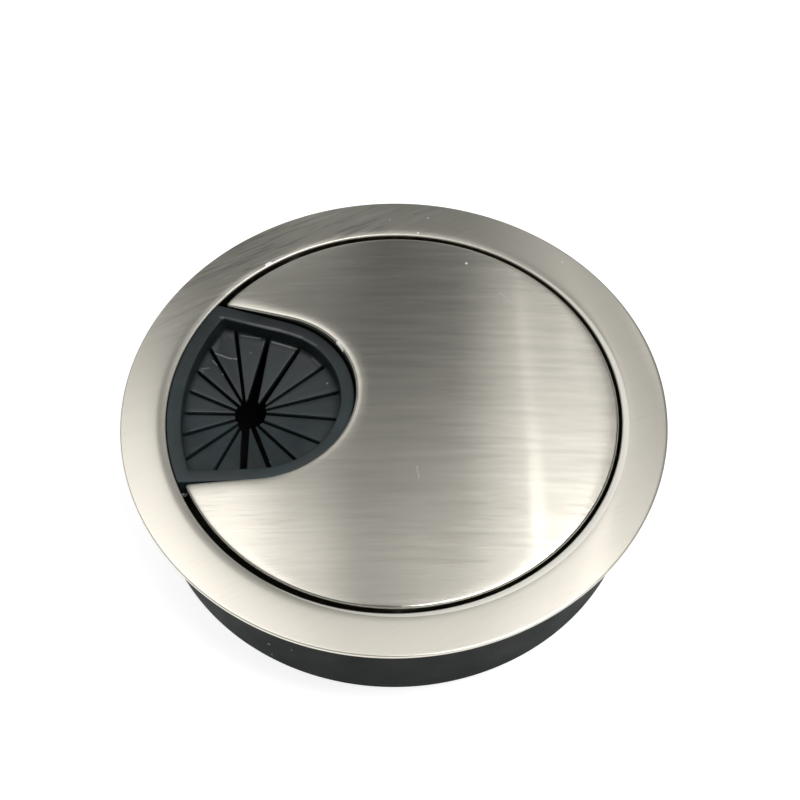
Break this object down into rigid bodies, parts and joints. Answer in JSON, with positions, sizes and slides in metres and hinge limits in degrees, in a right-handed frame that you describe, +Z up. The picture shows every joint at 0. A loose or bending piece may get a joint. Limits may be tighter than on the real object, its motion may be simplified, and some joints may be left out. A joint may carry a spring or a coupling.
{
  "type": "desk cable grommet",
  "caption": "Round metal desk cable grommet with a domed lid, a black sleeve and a soft slit insert in the lid's D-shaped bay.",
  "frame": {"origin": "centre of the sleeve's lower end, on the axis of the desk hole", "axes": "+Z up along the axis of the desk hole, out of the desk top; -X towards the middle of the lid's bay"},
  "size_m": [0.088, 0.088, 0.0216],
  "materials": {
    "ring_nickel": "brushed nickel plate, satin",
    "lid_nickel": "brushed nickel plate, satin, brushed in one direction",
    "black_plastic": "matt moulded",
    "black_rubber": "matt moulded"
  },
  "bodies": {
    "root": {"trim_ring": "ring_nickel", "sleeve": "black_plastic", "lid": "lid_nickel", "flap_insert": "black_rubber"}
  },
  "joints": []
}
